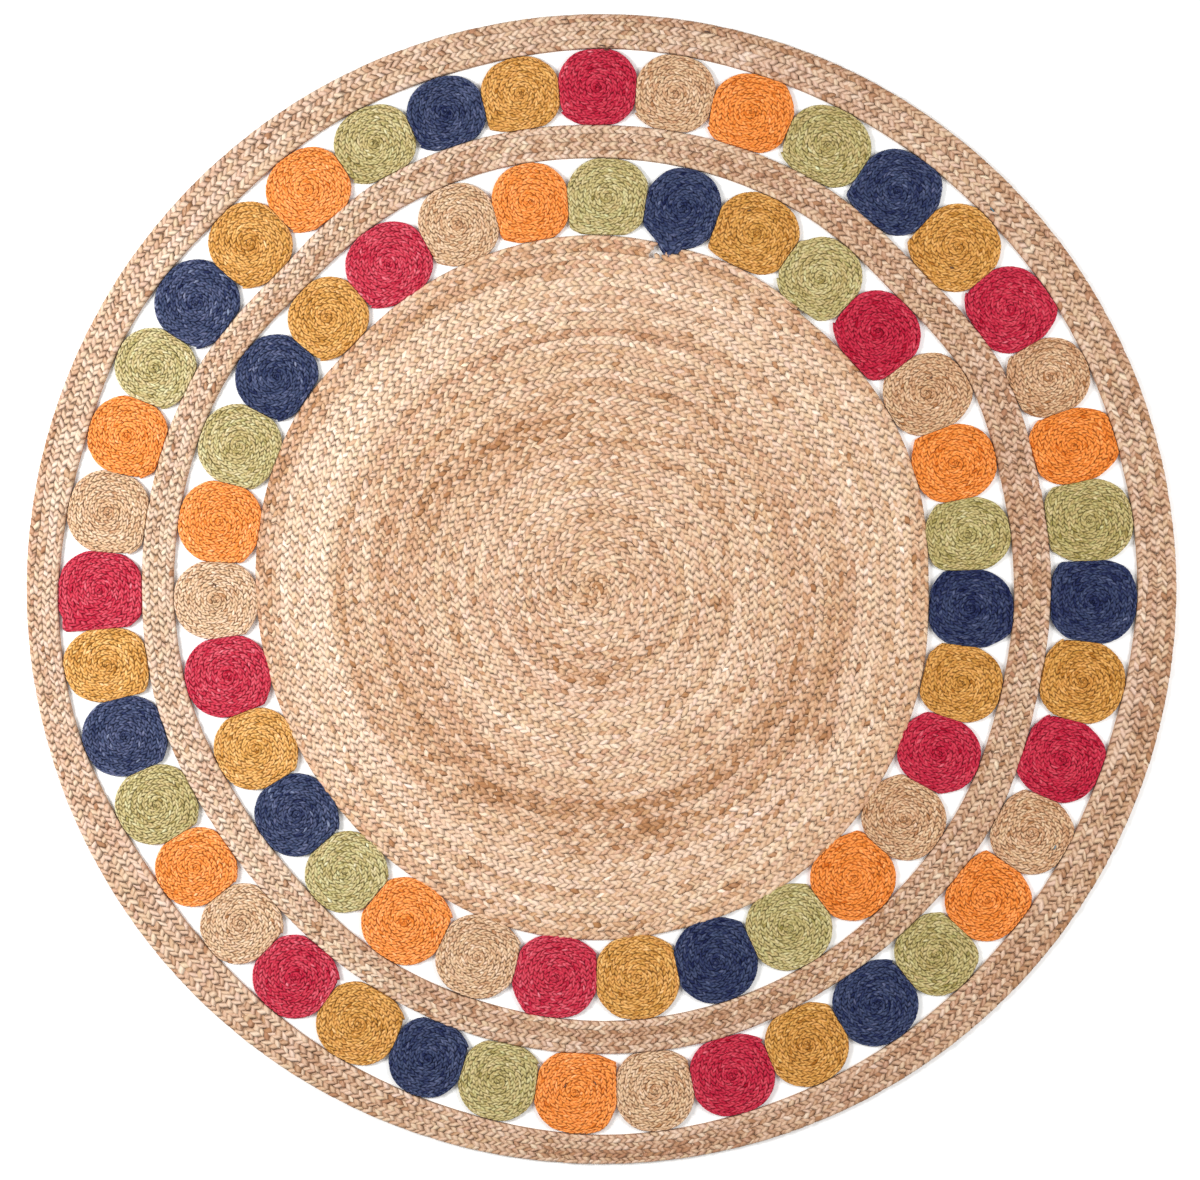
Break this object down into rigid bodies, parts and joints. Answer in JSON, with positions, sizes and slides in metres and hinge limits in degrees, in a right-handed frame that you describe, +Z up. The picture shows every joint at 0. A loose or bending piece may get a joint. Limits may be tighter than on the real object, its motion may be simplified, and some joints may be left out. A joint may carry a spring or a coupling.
{
  "type": "round braided rug",
  "caption": "Round flat rug of sewn jute braid: a coiled natural mat in the middle, rows of small coloured coiled discs, and natural braided rings between and around them.",
  "frame": {"origin": "on the floor, at the middle of the rug's underside", "axes": "+Z up, out of the pile side; +Y towards the top of the rug as it is seen from above; +X to its right"},
  "size_m": [1.83, 1.83, 0.009],
  "materials": {
    "jute_natural": "undyed jute yarn in a flat three-strand braid, matt",
    "jute_red": "crimson dyed jute braid, matt",
    "jute_orange": "orange dyed jute braid, matt",
    "jute_green": "olive green dyed jute braid, matt",
    "jute_navy": "navy blue dyed jute braid, matt",
    "jute_mustard": "mustard yellow dyed jute braid, matt"
  },
  "bodies": {
    "root": {"centre_mat": "jute_natural", "middle_ring": "jute_natural", "border_ring": "jute_natural", "outer_disc_01": "jute_red", "outer_disc_02": "jute_natural", "outer_disc_03": "jute_orange", "outer_disc_04": "jute_green", "outer_disc_05": "jute_navy", "outer_disc_06": "jute_mustard", "outer_disc_07": "jute_red", "outer_disc_08": "jute_natural", "outer_disc_09": "jute_orange", "outer_disc_10": "jute_green", "outer_disc_11": "jute_navy", "outer_disc_12": "jute_mustard", "outer_disc_13": "jute_red", "outer_disc_14": "jute_natural", "outer_disc_15": "jute_orange", "outer_disc_16": "jute_green", "outer_disc_17": "jute_navy", "outer_disc_18": "jute_mustard", "outer_disc_19": "jute_red", "outer_disc_20": "jute_natural", "outer_disc_21": "jute_orange", "outer_disc_22": "jute_green", "outer_disc_23": "jute_navy", "outer_disc_24": "jute_mustard", "outer_disc_25": "jute_red", "outer_disc_26": "jute_natural", "outer_disc_27": "jute_orange", "outer_disc_28": "jute_green", "outer_disc_29": "jute_navy", "outer_disc_30": "jute_mustard", "outer_disc_31": "jute_red", "outer_disc_32": "jute_natural", "outer_disc_33": "jute_orange", "outer_disc_34": "jute_green", "outer_disc_35": "jute_navy", "outer_disc_36": "jute_mustard", "outer_disc_37": "jute_orange", "outer_disc_38": "jute_green", "outer_disc_39": "jute_navy", "outer_disc_40": "jute_mustard", "inner_disc_01_02": "jute_green", "inner_disc_03_04": "jute_mustard", "inner_disc_05_06": "jute_red", "inner_disc_07_08": "jute_orange", "inner_disc_09_10": "jute_navy", "inner_disc_11_12": "jute_red", "inner_disc_13_14": "jute_orange", "inner_disc_15_16": "jute_navy", "inner_disc_17_18": "jute_red", "inner_disc_19_20": "jute_orange", "inner_disc_21_22": "jute_navy", "inner_disc_23_24": "jute_red", "inner_disc_25_26": "jute_orange", "inner_disc_27_28": "jute_navy", "inner_disc_29": "jute_red", "inner_disc_30": "jute_natural", "inner_disc_31": "jute_orange"}
  },
  "joints": []
}
